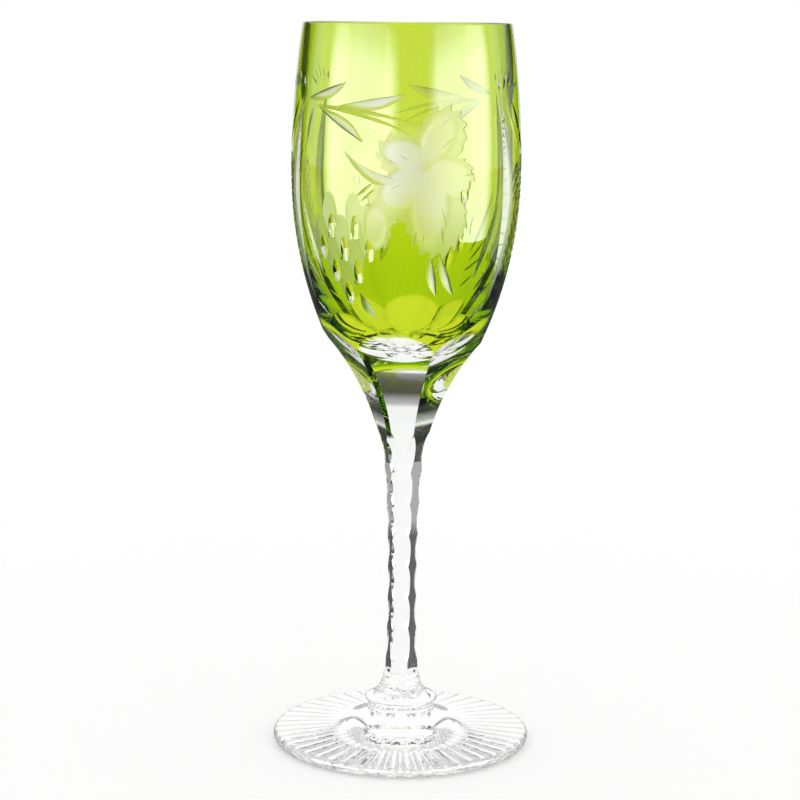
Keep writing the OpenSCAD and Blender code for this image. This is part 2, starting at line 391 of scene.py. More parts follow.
def rim_drop(inset):
    """How far the rounded rim lies below the top, across the wall."""
    across = 1 - 2 * inset / rim_wall
    return rim_round * (1 - math.sqrt(max(0, 1 - across**2)))


def heights(low, high):
    """Heights from low to high in even rows, with one at the belly."""
    marks = [low] + [belly_z] * (low < belly_z < high) + [high]
    rows = []
    for a, b in zip(marks, marks[1:]):
        count = max(1, round((b - a) / row_step))
        rows += list(np.linspace(a, b, count, endpoint=False))
    return rows + [high]


def rim_points(first, last):
    """Profile of the rim between two insets."""
    insets = np.linspace(first, last, rim_steps + 1)
    return [(wall_r(rim_z - rim_drop(x), x), rim_z - rim_drop(x)) for x in insets]


def wall_points(low, high, inset):
    """Profile of the wall between two heights, set in by what inset gives for a height."""
    return [(wall_r(z, inset(z)), z) for z in heights(low, high)]


def outside(z):
    return 0


def crystal_inset(z):
    """How deep the crystal's outer face lies under the casing's."""
    return casing_depth(z) + seam_gap


# Cavity of the bowl: the wall's arc above, a longer arc below and a round bottom
cavity_r = belly_r - belly_wall
bottom_centre_z = cavity_z + cavity_bottom_r
cavity_h = belly_z - bottom_centre_z
cavity_side_r = (cavity_r**2 + cavity_h**2 - cavity_bottom_r**2) / (2 * (cavity_r - cavity_bottom_r))
rim_rise = rim_z - rim_round - belly_z
rim_step = cavity_r - wall_r(rim_z - rim_round, rim_wall)
cavity_top_r = (rim_rise**2 + rim_step**2) / (2 * rim_step)


def cavity_points():
    """Profile of the cavity, from the rim down to its bottom."""
    join = math.asin(cavity_h / (cavity_side_r - cavity_bottom_r))
    top = math.asin(rim_rise / cavity_top_r)
    upper = arc((cavity_r - cavity_top_r, belly_z), cavity_top_r, top, 0, cavity_steps[0])
    side = arc((cavity_r - cavity_side_r, belly_z), cavity_side_r, 0, -join, cavity_steps[1])
    bottom = arc((0, bottom_centre_z), cavity_bottom_r, -join, -math.pi / 2, cavity_steps[2])
    return upper + side[1:] + bottom[1:-1] + [(0, cavity_z)]


# Flats of the stem and of the bowl's base
arc_gap = stem_arc_r - flat_wheel_r
flat_wheel_x = waist_a + stem_arc_r - math.sqrt(arc_gap**2 - (flat_wheel_z - waist_z) ** 2)
flat_join_z = waist_z + (flat_wheel_z - waist_z) * stem_arc_r / arc_gap
# At the top of a flat the wheel is lifted out along a tighter arc
lift_r = 38
lift_z = base_z + 22
lift_angle = math.asin((lift_z - flat_wheel_z) / flat_wheel_r)
lift_x = flat_wheel_x - (flat_wheel_r - lift_r) * math.cos(lift_angle)
lift_centre_z = flat_wheel_z + (flat_wheel_r - lift_r) * math.sin(lift_angle)


def flat_a(z):
    """Distance from the axis to a flat."""
    if z > flat_join_z:
        return flat_wheel_x - math.sqrt(flat_wheel_r**2 - (z - flat_wheel_z) ** 2)
    return waist_a + stem_arc_r - math.sqrt(stem_arc_r**2 - (z - waist_z) ** 2)


def flat_cutter(index, material):
    """The part of a flat's wheel that reaches the bowl's base."""
    reach = 45
    half_width = 24
    low = math.asin((base_z - clear - flat_wheel_z) / flat_wheel_r)
    high = math.radians(70)
    wheel = (flat_wheel_x, flat_wheel_z)
    lifted = (lift_x, lift_centre_z)
    outline = arc(wheel, flat_wheel_r, math.pi - low, math.pi - lift_angle, flat_steps[0])
    outline += arc(lifted, lift_r, math.pi - lift_angle, math.pi - high, flat_steps[1])[1:]
    outline += [(reach, outline[-1][1]), (reach, outline[0][1])]
    turn = flat_turn + index * 2 * math.pi / flats
    out = Vector((math.sin(turn), -math.cos(turn), 0))
    along = Vector((math.cos(turn), math.sin(turn), 0))
    points = [out * r + along * side * half_width + Vector((0, 0, z)) for side in (-1, 1) for r, z in outline]
    count = len(outline)
    faces = [list(range(count)), list(range(2 * count - 1, count - 1, -1))]
    faces += [[i, (i + 1) % count, count + (i + 1) % count, count + i] for i in range(count)]
    return make_object("flat_cutter", points, faces, material)


# Cuts in the wall


def swell(s, peak):
    """From 0 at both ends of a cut to 1 at its deepest place."""
    part = s / peak if s < peak else (1 - s) / (1 - peak)
    return math.sin(math.pi / 2 * part)


def along_path(path, s):
    """A place on a path of two points, or of three as a bent one."""
    if len(path) == 2:
        return [a + (b - a) * s for a, b in zip(*path)]
    return [a * (1 - s) ** 2 + 2 * b * s * (1 - s) + c * s**2 for a, b, c in zip(*path)]


def groove(path, depth, left_w, right_w, material, peak=0.5, turn=0, steps=28):
    """A mitre cut along a path on the wall. Its flanks have their own widths, left and right of the way."""
    lift = 0.02
    small = 1e-3
    points = []
    for i in range(steps + 1):
        s = i / steps
        azimuth, height = along_path(path, s)
        point, normal = wall_frame(azimuth + turn, height)
        before = along_path(path, s - small)
        after = along_path(path, s + small)
        way = wall_frame(after[0] + turn, after[1])[0] - wall_frame(before[0] + turn, before[1])[0]
        left = normal.cross(way.normalized())
        deep = (depth + lift) * swell(s, peak) - lift
        points.append(point - normal * deep)
        points.append(point + normal * clear + left * (deep + clear) * left_w / depth)
        points.append(point + normal * clear - left * (deep + clear) * right_w / depth)
    faces = [[0, 1, 2], [3 * steps + k for k in (2, 1, 0)]]
    for i in range(0, 3 * steps, 3):
        faces += [[i + k, i + (k + 1) % 3, i + 3 + (k + 1) % 3, i + 3 + k] for k in range(3)]
    return make_object("groove", points, faces, material)


def olive(azimuth, height, length, width, depth, material, rings=9, spokes=32):
    """An upright oval cut, hollowed like a bowl of a spoon."""
    point, normal = wall_frame(azimuth, height)
    a = math.radians(azimuth)
    along = Vector((math.cos(a), math.sin(a), 0))
    up = normal.cross(along) * -1
    # The wall curves away from the cut, so the hollow is drawn wider to reach its width
    half_w = 1 / math.sqrt(4 / width**2 - 1 / (2 * belly_r * depth))
    half_l = 1 / math.sqrt(4 / length**2 - 1 / (2 * lower_arc_r * depth))
    past = math.sqrt(1 + clear / depth)
    points = [point - normal * depth]
    for ring in range(1, rings + 1):
        share = past * ring / rings
        for i in range(spokes):
            b = 2 * math.pi * i / spokes
            points.append(point - normal * depth * (1 - share**2)
                          + along * half_w * share * math.cos(b) + up * half_l * share * math.sin(b))
    faces = [[0, 1 + i, 1 + (i + 1) % spokes] for i in range(spokes)]
    for ring in range(rings - 1):
        first = 1 + ring * spokes
        for i in range(spokes):
            j = (i + 1) % spokes
            faces.append([first + i, first + spokes + i, first + spokes + j, first + j])
    last = 1 + (rings - 1) * spokes
    faces.append([last + i for i in range(spokes)])
    return make_object("olive", points, faces, material)


# Lobes of the vine leaf and of the small leaf: direction and length
vine_lobes = [(68, 18.8), (153, 16), (-12, 14), (-80, 25), (-140, 19)]
vine_hub = (12.9, 2.4)
small_lobes = [(-88, 12), (-30, 7), (-146, 7.5), (90, 5)]
small_hub = (-13.5, -8)
lobe_sharpness = 2.1
# How deep the scoops of the two leaves go, as a share of the casing
vine_through = 0.97
small_through = 0.9
tooth_w = 3.8
tooth_share = 0.12
# Scoops in the lobes: middle from the hub, half length and half width, and direction
vine_scoops = [
    ((2.6, 8), (8, 4.4), 57),
    ((-6.2, 4), (7.4, 4.3), 165),
    ((6.4, -1.8), (7, 5.2), -16),
    ((-6.4, -4.4), (8.6, 5.4), -146),
    ((0.7, -9.6), (12, 5.6), -90),
]
small_scoops = [((0, -4.5), (6, 3.2), -90)]
# Fine strokes that run out along the lobes into the teeth, each from one place off the hub to another
stroke_depth = 0.75
stroke_w = (0.12, 0.36)
vine_strokes = [
    ((1.4, 4), (8.2, 9.6)),
    ((2.6, 10.8), (6.4, 14.2)),
    ((-12.6, 3.3), (-7.2, 1)),
    ((-9, 4.5), (-4.6, 2.2)),
    ((-11.5, -5.6), (-6.5, -3.2)),
    ((3.2, -8.5), (5.8, -16)),
    ((3.6, -13.5), (5, -21)),
    ((-2.6, -15), (-4.2, -20.5)),
    ((-0.8, -15.5), (-1.6, -21)),
    ((9.2, -5.5), (9.6, -9.6)),
    ((11.2, -4.6), (11.4, -8.6)),
    ((9.5, -1.8), (13.4, -0.8)),
]


def turned(angle):
    """A unit step in a direction given in degrees."""
    return np.array([math.cos(math.radians(angle)), math.sin(math.radians(angle))])


def leaf_outline(lobes, steps=300):
    """A leaf's toothed outline about its hub."""
    outline = []
    way = 0
    last = None
    for i in range(steps):
        a = 360 * i / steps
        reaches = [length * max(0, math.cos(math.radians(a - direction))) ** lobe_sharpness
                   for direction, length in lobes]
        spot = turned(a) * max(reaches)
        if last is not None:
            way += np.hypot(*(spot - last))
        last = spot
        outline.append(spot * (1 - tooth_share * (way / tooth_w % 1)))
    return outline


def scoop_share(scoops, spots):
    """How far spots lie in a leaf's scoops: 1 in the middle of one, 0 outside them all."""
    share = np.zeros(len(spots))
    for middle, (half_l, half_w), direction in scoops:
        along = turned(direction)
        off = spots - np.array(middle)
        near = off @ along / half_l
        wide = (off[:, 1] * along[0] - off[:, 0] * along[1]) / half_w
        share = np.maximum(share, 1 - near**2 - wide**2)
    return share


def leaf_degree(hub):
    """Millimetres to a degree round the wall at a leaf."""
    return math.radians(1) * wall_r(belly_z + hub[1])


def leaf_hollow(hub, lobes, scoops, through, material, turn=0):
    """A leaf cut: it thins the casing as far as its toothed edge and scoops its lobes out, to a depth that is
    given as a share of the casing."""
    edge_share = 0.5
    steepness = 2.4
    grid = 0.6
    outline = leaf_outline(lobes)
    border = np.array(outline)
    low, high = border.min(0), border.max(0)
    inner = [(x, y) for x in np.arange(low[0], high[0], grid) for y in np.arange(low[1], high[1], grid)]
    count = len(outline)
    loop = [(i, (i + 1) % count) for i in range(count)]
    spots, _, faces, _, _, _ = delaunay_2d_cdt([Vector(p) for p in list(outline) + inner], loop, [], 1, 1e-6)
    spots = np.array([tuple(p) for p in spots])
    shares = edge_share + (through - edge_share) * np.minimum(1, steepness * scoop_share(scoops, spots))
    depths = shares * casing_depth(belly_z + hub[1] + spots[:, 1])
    degree = leaf_degree(hub)
    floor = []
    roof = []
    for (x, y), depth in zip(spots, depths):
        point, normal = wall_frame(hub[0] + turn + x / degree, hub[1] + y)
        floor.append(point - normal * depth)
        roof.append(point + normal * clear)
    total = len(floor)
    walls = [list(f) for f in faces] + [[total + i for i in reversed(f)] for f in faces]
    edges = {}
    for face in faces:
        for i, j in zip(face, list(face[1:]) + [face[0]]):
            edges[(i, j)] = True
    walls += [[j, i, total + i, total + j] for i, j in edges if (j, i) not in edges]
    return make_object("leaf", floor + roof, walls, material)


def leaf_stroke(hub, ends, material, turn=0):
    """A fine stroke on a leaf."""
    degree = leaf_degree(hub)
    path = [(hub[0] + x / degree, hub[1] + y) for x, y in ends]
    return groove(path, stroke_depth, *stroke_w, material, turn=turn, steps=12)


# Leaf cuts of a panel: path in azimuth and height, left and right widths, and where they are deepest
leaf_depth = 1.05
leaf_cuts = [
    ([(-56, 20.5), (-29, 25.3)], 0.25, 2.6, 0.55),
    ([(-34, 18.9), (2.5, 22.2)], 0.3, 2.8, 0.55),
    ([(-47, 18.5), (-19, 9.4)], 2.6, 0.25, 0.6),
    ([(-30, 7.4), (-16, 0.5), (2, -0.7)], 0.35, 3, 0.75),
    ([(14.5, -19.7), (19.6, -32)], 0.4, 2.2, 0.55),
    ([(19, -19.7), (30, -32)], 0.4, 2.2, 0.55),
    ([(-24, -31), (-14.6, -38.5)], 0.4, 2, 0.5),
]
# Fine lines: tendrils and the stalks of the grapes
line_depth = 0.26
line_w = 0.5
fine_lines = [
    [(-52, 19), (-15.5, 18.5), (11.3, 13.5)],
    [(-52, 18.6), (-16, 18), (6.5, 10.9)],
    [(-22.6, -4.9), (-13.9, -1)],
    [(-21.1, -6.4), (-9, -1.2)],
    [(-20, -8), (-7, -4.4)],
]
# The borders bow out between their ends. Cut by eye, the pair sits a little to one side of the panel.
border_low = -35
border_top = 22
border_path = [(58, border_top), (71, -7), (62, border_low)]
border_shift = -3.2
border_depth = 1.5
border_w = 5.8
# Cuts of the fan over a border: how far out they end, in degrees, and how high
fan_cuts = [(0, 26.5), (7, 28), (13, 29), (18, 27.5), (23, 25.5)]
fan_depth = 0.3
fan_w = 0.5
fan_gap = 1
# Fern leaves that hang in from a border, under one another, each of three lines
fern_cuts = [
    [(57, -6), (44.5, -28)],
    [(60, -21.6), (46, -31)],
    [(61, -29), (44.5, -34)],
    [(60, -34.5), (47, -39.5)],
]
fern_depth = 0.36
fern_w = 0.3
fern_bulge = 3
fern_peak = 0.6
grape_rows = [2, 3, 2, 1]
grape_azimuth = -31.5
grape_top = -9.5
grape_step = 14
grape_rise = 6
grape_size = (11.5, 5, 0.22)
eye_size = (7.4, 3.1, 0.75)
eye_drop = 3.4
eye_turn = 1
# The crossed cuts between two panels: middle and half width of their field in degrees, its lowest and highest
# place, and the steps of the cuts. Very short ones are left out.
field_azimuth = 90
field_half = 16
field_least = field_half / 3
field_low = -29
field_top = 4
field_middle = -12
field_step = 3.7
field_rows = 8
field_depth = 0.55
field_w = 1.1
# Two long cuts that meet over it
long_reach = 24
long_top = border_top - 1
long_low = field_top - 2
long_w = 1
# Small cuts that break up the borders, apart from their ends
break_rows = 32
break_skip = 4
break_reach = 3.2
break_shift = 0.6
break_depth = 1.5
break_w = 0.6
decor_turn = -2


def beside(side, spot):
    """A place beside a panel, on its right or left."""
    return side * spot[0] + border_shift, spot[1]


def border_cuts(side, turn, polished, satin):
    """An upright cut beside a panel, broken up by small cuts, with a fan over it and ferns inside."""
    path = [beside(side, spot) for spot in border_path]
    cuts = [groove(path, border_depth, border_w / 2, border_w / 2, satin, turn=turn, steps=48)]
    for i in range(break_skip, break_rows - break_skip + 1):
        azimuth, height = along_path(path, i / break_rows)
        # Cut by hand, they lean and stray from one to the next
        lean = math.sin(5 * i)
        azimuth += break_shift * math.sin(3 * i + 1)
        reach = break_reach * swell(i / break_rows, 0.5)
        across = [(azimuth - reach, height - lean), (azimuth + reach, height + lean)]
        cuts.append(groove(across, break_depth, break_w, break_w, satin, turn=turn, steps=6))
    root = border_path[0][0]
    for step, top in fan_cuts:
        tick = [beside(side, (root + step / 2, border_top + fan_gap)), beside(side, (root + step, top))]
        cuts.append(groove(tick, fan_depth, fan_w, fan_w, polished, turn=turn, steps=10))
    for first, last in fern_cuts:
        for bulge in (-fern_bulge, 0, fern_bulge):
            middle = ((first[0] + last[0]) / 2 + bulge, (first[1] + last[1]) / 2 + bulge / 2)
            leaf = [beside(side, spot) for spot in (first, middle, last)]
            cuts.append(groove(leaf, fern_depth, fern_w, fern_w, polished, fern_peak, turn, 16))
    return cuts


def crossed_field(turn, polished):
    """Crossed cuts that leave small pyramids, under two long cuts that meet."""
    cuts = []
    for lean in (-1, 1):
        rate = lean * math.radians(1) * belly_r
        for i in range(-field_rows, field_rows + 1):
            middle = field_middle + i * field_step
            ends = sorted([(field_low - middle) / rate, (field_top - middle) / rate])
            first, last = max(-field_half, ends[0]), min(field_half, ends[1])
            if last - first > field_least:
                path = [(field_azimuth + x, middle + rate * x) for x in (first, last)]
                cuts.append(groove(path, field_depth, field_w, field_w, polished, turn=turn, steps=14))
        long_cut = [(field_azimuth + lean * long_reach, long_top), (field_azimuth, long_low)]
        cuts.append(groove(long_cut, leaf_depth, long_w, long_w, polished, turn=turn, steps=20))
    return cuts


def panel_cuts(turn, polished, satin):
    """All the cuts of one half of the bowl: a panel, and the crossed field to its right."""
    cuts = crossed_field(turn, polished)
    for side in (-1, 1):
        cuts += border_cuts(side, turn, polished, satin)
    for path, left_w, right_w, peak in leaf_cuts:
        cuts.append(groove(path, leaf_depth, left_w, right_w, satin, peak, turn))
    for path in fine_lines:
        cuts.append(groove(path, line_depth, line_w, line_w, satin, turn=turn))
    for row, count in enumerate(grape_rows):
        for i in range(count):
            azimuth = grape_azimuth + (i - (count - 1) / 2) * grape_step + turn
            height = grape_top - row * grape_rise
            cuts.append(olive(azimuth, height, *grape_size, satin))
            cuts.append(olive(azimuth + eye_turn, height - eye_drop, *eye_size, polished))
    cuts.append(leaf_hollow(vine_hub, vine_lobes, vine_scoops, vine_through, satin, turn))
    cuts += [leaf_stroke(vine_hub, ends, satin, turn) for ends in vine_strokes]
    cuts.append(leaf_hollow(small_hub, small_lobes, small_scoops, small_through, satin, turn))
    return cuts


# Bowl

polished_cut, _ = new_material("polished_cut")
satin_cut, _ = new_material("satin_cut")
flat_cut, _ = new_material("flat_cut")

cutters = [flat_cutter(i, flat_cut) for i in range(flats)]
for half in (0, 180):
    cutters += panel_cuts(decor_turn + half, polished_cut, satin_cut)


def read(items, name, size=1, kind=int):
    """A value of every item of a mesh, or several of each."""
    values = np.empty(len(items) * size, kind)
    items.foreach_get(name, values)
    return values


def cut_finish(obj, body_name, seam_depth):
    """Of a cut bowl, which faces are satin, which are its hidden seam, and true normals on wall and flats."""
    mesh = obj.data
    points = read(mesh.vertices, "co", 3, float).reshape(-1, 3)
    corners = read(mesh.loops, "vertex_index")
    starts = read(mesh.polygons, "loop_start")
    counts = read(mesh.polygons, "loop_total")
    kinds = read(mesh.polygons, "material_index")
    names = [m.name for m in mesh.materials]
    depth, wall_normals = wall_depth(points)
    near = 0.014
    body = kinds == names.index(body_name)
    on_wall = (np.maximum.reduceat(np.abs(depth)[corners], starts) < near) & body
    seam_off = np.abs(depth - seam_depth(points[:, 2]))
    on_seam = (np.maximum.reduceat(seam_off[corners], starts) < near) & body
    on_satin = np.array([n == satin_cut.name for n in names])[kinds]
    on_flat = np.array([n == flat_cut.name for n in names])[kinds]
    # The middle of a face tells which flat it lies on
    middles = np.add.reduceat(points[corners], starts) / counts[:, None]
    step = 2 * math.pi / flats
    turns = np.arctan2(middles[:, 0], -middles[:, 1]) - flat_turn
    turns = np.repeat(np.round(turns / step) * step + flat_turn, counts)
    out = np.column_stack([np.sin(turns), -np.cos(turns)])
    lifted = points[corners, 2] > lift_z
    reach = np.where(lifted, lift_x, flat_wheel_x) - (points[corners, :2] * out).sum(1)
    rise = np.where(lifted, lift_centre_z, flat_wheel_z) - points[corners, 2]
    size = np.hypot(reach, rise)
    flat_normals = np.column_stack([out * (reach / size)[:, None], rise / size])
    normals = np.zeros((len(corners), 3))
    wall_corner = np.repeat(on_wall, counts)
    flat_corner = np.repeat(on_flat, counts)
    normals[wall_corner] = wall_normals[corners[wall_corner]]
    normals[flat_corner] = flat_normals[flat_corner]
    return on_satin, on_seam, normals


def wear(obj, materials, slots):
    """Gives a mesh these materials, and each face its slot."""
    obj.data.materials.clear()
    for material in materials:
        obj.data.materials.append(material)
    obj.data.polygons.foreach_set("material_index", slots)


def mark(obj, name, faces):
    """Writes 1 on these faces and 0 on the others, for the material to read."""
    attribute = obj.data.attributes.new(name, "FLOAT", "FACE")
    attribute.data.foreach_set("value", faces.astype(np.float32))


casing_profile = (wall_points(casing_low_z, rim_z - rim_drop(0), outside) + rim_points(0, casing_t)[1:]
                  + wall_points(casing_low_z, rim_z - rim_drop(casing_t), casing_depth)[::-1][1:])
casing = revolve("bowl_casing_cut", casing_profile, green_glass)
cut_away(casing, cutters)
on_satin, on_seam, casing_normals = cut_finish(casing, green_glass.name, casing_depth)
wear(casing, [green_glass], np.zeros(len(on_satin), int))
mark(casing, "satin", on_satin)
mark(casing, "seam", on_seam)
finish_piece(casing, "bowl_casing", casing_normals)

rim_inset = crystal_inset(rim_z)
neck_z = base_z + neck_h
neck_r = wall_r(neck_z, crystal_inset(neck_z))
crystal_profile = ([(0, base_z), (neck_r, base_z)]
                   + wall_points(neck_z, rim_z - rim_drop(rim_inset), crystal_inset)
                   + rim_points(rim_inset, rim_wall)[1:-1] + cavity_points())
crystal = revolve("bowl_crystal_cut", crystal_profile, clear_polished)
cut_away(crystal, cutters)
on_satin, on_seam, crystal_normals = cut_finish(crystal, clear_polished.name, crystal_inset)
on_seam |= np.array([face.center.z < base_z + touch for face in crystal.data.polygons])
wear(crystal, [clear_polished, clear_satin, clear_seam], np.where(on_seam, 2, np.where(on_satin, 1, 0)))
finish_piece(crystal, "bowl_crystal", crystal_normals)
for cutter in cutters:
    bpy.data.objects.remove(cutter)


# Trees that repeat a cutter round a blank

# Where rays to the blank start and how long they are
ray_start = 30
ray_l = 60
wheel_steps = 160
wheel_t = 14
rod_steps = 72
rod_l = 60


def new_tree(name, sizes):
    """A node tree with a geometry output, and its inputs: the blank and named numbers."""
    tree = bpy.data.node_groups.new(name, "GeometryNodeTree")
    tree.interface.new_socket("Geometry", in_out="INPUT", socket_type="NodeSocketGeometry")
    for size, value in sizes.items():
        kind = "NodeSocketInt" if isinstance(value, int) else "NodeSocketFloat"
        tree.interface.new_socket(size, in_out="INPUT", socket_type=kind)
    tree.interface.new_socket("Geometry", in_out="OUTPUT", socket_type="NodeSocketGeometry")
    return tree, add(tree, "NodeGroupInput")


def grow(obj, tree, sizes):
    """Runs a tree on an object with these sizes, and keeps the mesh that it makes."""
    step = obj.modifiers.new("grow", "NODES")
    step.node_group = tree
    for item in tree.interface.items_tree:
        if item.in_out == "INPUT" and item.name in sizes:
            step[item.identifier] = sizes[item.name]
    return evaluated(obj)


def cut_round(tree, blank, places, cutter, turn):
    """Ends a tree: cuts a turned copy of the cutter away at each place, and gives the rest its glass."""
    spin = add(tree, "FunctionNodeEulerToRotation", {"Euler": turn})
    copies = add(tree, "GeometryNodeInstanceOnPoints", {
        "Points": places.outputs[0], "Instance": cutter.outputs[0], "Rotation": spin.outputs[0]})
    cut = add(tree, "GeometryNodeMeshBoolean", {
        "Mesh 1": blank.outputs["Geometry"], "Mesh 2": copies.outputs[0]},
        operation="DIFFERENCE", solver="MANIFOLD")
    whole = add(tree, "GeometryNodeRealizeInstances", {"Geometry": cut.outputs["Mesh"]})
    glass = add(tree, "GeometryNodeSetMaterial", {"Geometry": whole.outputs[0], "Material": clear_polished})
    add(tree, "NodeGroupOutput", {"Geometry": glass.outputs[0]})
    return tree


def notched_stem_tree(sizes):
    """Seven notches along each of the six edges, each set in from where a ray meets the edge."""
    tree, blank = new_tree("notched_stem", sizes)
    step = 2 * math.pi / flats
    count = maths(tree, "MULTIPLY", blank.outputs["Notches"], flats)
    line = add(tree, "GeometryNodeMeshLine", {"Count": count})
    index = add(tree, "GeometryNodeInputIndex").outputs[0]
    row = maths(tree, "FLOOR", maths(tree, "DIVIDE", index, flats))
    angle = maths(tree, "MULTIPLY_ADD", maths(tree, "MODULO", index, flats), step, flat_turn + step / 2)
    above = maths(tree, "ADD", row, 1)
    height = maths(tree, "MULTIPLY_ADD", above, blank.outputs["Pitch"], blank.outputs["Foot height"])
    front = maths(tree, "MULTIPLY", maths(tree, "COSINE", angle), -1)
    out = vector(tree, X=maths(tree, "SINE", angle), Y=front)
    level = vector(tree, Z=height)
    far = add(tree, "ShaderNodeVectorMath", {0: out, 1: (ray_start,) * 3, 2: level}, operation="MULTIPLY_ADD")
    inward = add(tree, "ShaderNodeVectorMath", {0: out, "Scale": -1}, operation="SCALE")
    ray = add(tree, "GeometryNodeRaycast", {
        "Target Geometry": blank.outputs["Geometry"], "Source Position": far.outputs[0],
        "Ray Direction": inward.outputs[0], "Ray Length": ray_l})
    back = maths(tree, "SUBTRACT", blank.outputs["Wheel radius"], blank.outputs["Notch depth"])
    offset = add(tree, "ShaderNodeVectorMath", {0: out, "Scale": back}, operation="SCALE")
    centre = add(tree, "ShaderNodeVectorMath", {0: ray.outputs["Hit Position"], 1: offset.outputs[0]})
    places = add(tree, "GeometryNodeSetPosition", {
        "Geometry": line.outputs["Mesh"], "Position": centre.outputs[0]})
    wheel = add(tree, "GeometryNodeMeshCylinder", {
        "Vertices": wheel_steps, "Radius": blank.outputs["Wheel radius"], "Depth": wheel_t})
    turn = vector(tree, X=math.pi / 2, Z=maths(tree, "ADD", angle, math.pi / 2))
    return cut_round(tree, blank, places, wheel, turn)


def fluted_foot_tree(sizes):
    """Leaning rods round the axis cut the flutes under the foot."""
    tree, blank = new_tree("fluted_foot", sizes)
    circle = add(tree, "GeometryNodeMeshCircle", {
        "Vertices": blank.outputs["Flutes"], "Radius": blank.outputs["Start radius"]})
    index = add(tree, "GeometryNodeInputIndex").outputs[0]
    angle = maths(tree, "MULTIPLY", index, maths(tree, "DIVIDE", 2 * math.pi, blank.outputs["Flutes"]))
    lower = vector(tree, Z=maths(tree, "MULTIPLY", blank.outputs["Rod radius"], -1))
    places = add(tree, "GeometryNodeSetPosition", {"Geometry": circle.outputs["Mesh"], "Offset": lower})
    slope = maths(tree, "DIVIDE", blank.outputs["Flute depth"], blank.outputs["Run"])
    tilt = maths(tree, "SUBTRACT", math.pi / 2, maths(tree, "ARCTANGENT", slope))
    rod = add(tree, "GeometryNodeMeshCylinder", {
        "Vertices": rod_steps, "Radius": blank.outputs["Rod radius"], "Depth": rod_l})
    shifted = add(tree, "GeometryNodeTransform", {
        "Geometry": rod.outputs["Mesh"], "Translation": (0, 0, rod_l / 2)})
    return cut_round(tree, blank, places, shifted, vector(tree, Y=tilt, Z=angle))


def hide_seams(obj, is_seam):
    """Gives the faces where a piece was joined hot the seam's material."""
    obj.data.materials.append(clear_seam)
    for face in obj.data.polygons:
        if is_seam(face):
            face.material_index = len(obj.data.materials) - 1


# Stem

edge_turns = [flat_turn + (i + 0.5) * 2 * math.pi / flats for i in range(flats)]
stem_points = []
for z in np.linspace(stem_z, base_z, stem_rows):
    edge = flat_a(z) / math.cos(math.pi / flats)
    stem_points += [(edge * math.sin(a), -edge * math.cos(a), z) for a in edge_turns]
top = (stem_rows - 1) * flats
stem_faces = [list(range(flats)), list(range(top, top + flats))]
for row in range(0, top, flats):
    for i in range(flats):
        j = (i + 1) % flats
        stem_faces.append([row + i, row + j, row + flats + j, row + flats + i])
stem = make_object("stem_cut", stem_points, stem_faces, clear_polished)
stem_sizes = {"Notches": notch_count, "Pitch": (base_z - stem_z) / (notch_count + 1), "Foot height": stem_z,
              "Notch depth": notch_depth, "Wheel radius": float(notch_wheel_r)}
grow(stem, notched_stem_tree(stem_sizes), stem_sizes)
hide_seams(stem, lambda face: not stem_z + touch < face.center.z < base_z - touch)
finish_piece(stem, "stem")


# Collar

lip_centre = (collar_r - lip_round, hub_z + lip_round)
from_lip = (collar_top_r - lip_centre[0], stem_z - lip_centre[1])
flare_r = (math.hypot(*from_lip) ** 2 - lip_round**2) / (2 * (lip_round - from_lip[0]))
flare_centre = (collar_top_r + flare_r, stem_z)
lip_angle = math.atan2(flare_centre[1] - lip_centre[1], flare_centre[0] - lip_centre[0])
seat_r = flat_a(stem_z)
# The collar's shoulder is rounded, and the hot join leaves a crease round the stem
shoulder_r = 0.45
shoulder_z = stem_z - shoulder_r
crease_r = 4.6
crease_depth = 0.3
flare = arc(flare_centre, flare_r, math.pi + lip_angle, math.pi, flare_steps)
collar_profile = ([(0, hub_z), (hub_r, hub_z)] + arc(lip_centre, lip_round, -math.pi / 2, lip_angle)
                  + [spot for spot in flare[1:] if spot[1] < shoulder_z]
                  + arc((collar_top_r - shoulder_r, shoulder_z), shoulder_r, 0, math.pi / 2, 8)
                  + [(crease_r, stem_z - crease_depth), (crease_r - crease_depth, stem_z)]
                  + [(seat_r, stem_z), (0, stem_z)])
collar = revolve("collar_turned", collar_profile, clear_polished)
# Shaped by hand while hot, the flare is a little wavy: it has ripples that sway, and slanting folds
ripple_depth = 0.15
ripples = 24
ripple_sway = 1.3
sways = 3
folds = 7
fold_slant = 14
for point in collar.data.vertices:
    share = (point.co.z - hub_z) / (stem_z - hub_z)
    a = math.atan2(point.co.x, -point.co.y)
    ripple = math.sin(ripples * share + ripple_sway * math.sin(sways * a))
    wave = ripple + math.sin(folds * a - fold_slant * share) / 2
    point.co.xy *= 1 - ripple_depth * math.sin(math.pi * share) * (1 + wave) / collar_top_r


def in_collar_seam(face):
    """Whether a face lies on the hub or under the stem."""
    away = face.center.xy.length
    return face.center.z < hub_z + touch and away < hub_r or face.center.z > stem_z - touch and away < seat_r


hide_seams(collar, in_collar_seam)
finish_piece(collar, "collar")


# Foot

edge_r = foot_edge_t / 2
edge_top_r = foot_r - edge_r
sweep_end = Vector((sweep_end_r, foot_edge_t + (edge_top_r - sweep_end_r) * math.tan(foot_slope)))
sweep_normal = Vector((math.sin(foot_slope), math.cos(foot_slope)))
sweep_top = Vector((hub_r, hub_z - hub_side))
to_hub = sweep_top - sweep_end
sweep_r = to_hub.length_squared / (2 * to_hub.dot(sweep_normal))
sweep_centre = sweep_end + sweep_r * sweep_normal
hub_spoke = sweep_top - sweep_centre
hub_angle = math.atan2(hub_spoke.y, hub_spoke.x) + 2 * math.pi
foot_profile = ([(0, 0), (flute_start_r, 0)]
                + arc((edge_top_r, edge_r), edge_r, -math.pi / 2, math.pi / 2, 16)
                + arc(sweep_centre, sweep_r, 1.5 * math.pi - foot_slope, hub_angle, sweep_steps)
                + [(hub_r, hub_z), (0, hub_z)])
